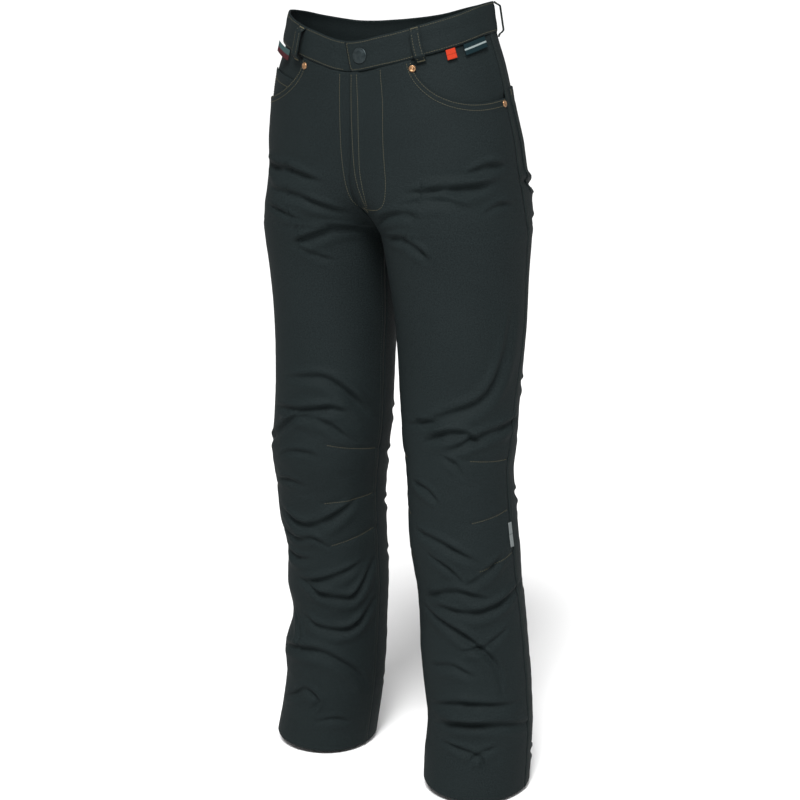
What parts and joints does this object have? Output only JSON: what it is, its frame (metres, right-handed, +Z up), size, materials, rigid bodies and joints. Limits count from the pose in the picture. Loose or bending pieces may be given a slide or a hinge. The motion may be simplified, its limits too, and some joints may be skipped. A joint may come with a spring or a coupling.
{
  "type": "motorcycle trousers",
  "caption": "Black straight-leg motorcycle trousers in jeans cut, filled out as worn and hollow, with a waistband, snap, belt loops, scoop pockets and bunched knees.",
  "frame": {"origin": "The middle of the waist opening, where the wearer's waist holds the trousers up; the rim dips below it in front and rises above it at the left side.", "axes": "+Z is up, from the hems to the waist. The wearer faces -Y. +X is the wearer's left."},
  "size_m": [0.4185, 0.2574, 1.0734],
  "materials": {
    "black_cloth": "matte heavy twill with olive-tan sewing",
    "dark_gunmetal": "dark, half dull",
    "worn_copper": "antique copper, satin",
    "dark_teal_tape": "woven tape",
    "orange_ribbon": "woven ribbon",
    "teal_and_maroon_tape": "woven tape",
    "pale_grey_tape": "woven tape"
  },
  "bodies": {
    "root": {"front_left": "black_cloth", "front_right": "black_cloth", "back_left": "black_cloth", "back_right": "black_cloth", "pocket_facing_left": "black_cloth", "pocket_facing_right": "black_cloth", "coin_pocket": "black_cloth", "back_pocket_left": "black_cloth", "back_pocket_right": "black_cloth", "waistband": "black_cloth", "belt_loop_left_front": "black_cloth", "belt_loop_left_back": "black_cloth", "belt_loop_centre_back": "black_cloth", "belt_loop_right_back": "black_cloth", "belt_loop_right_front": "black_cloth", "snap_button": "dark_gunmetal", "rivet_left_inner": "worn_copper", "rivet_left_outer": "worn_copper", "rivet_right_inner": "worn_copper", "rivet_right_outer": "worn_copper", "label_dark": "dark_teal_tape", "label_orange": "orange_ribbon", "label_right": "teal_and_maroon_tape", "label_side": "pale_grey_tape"}
  },
  "joints": []
}
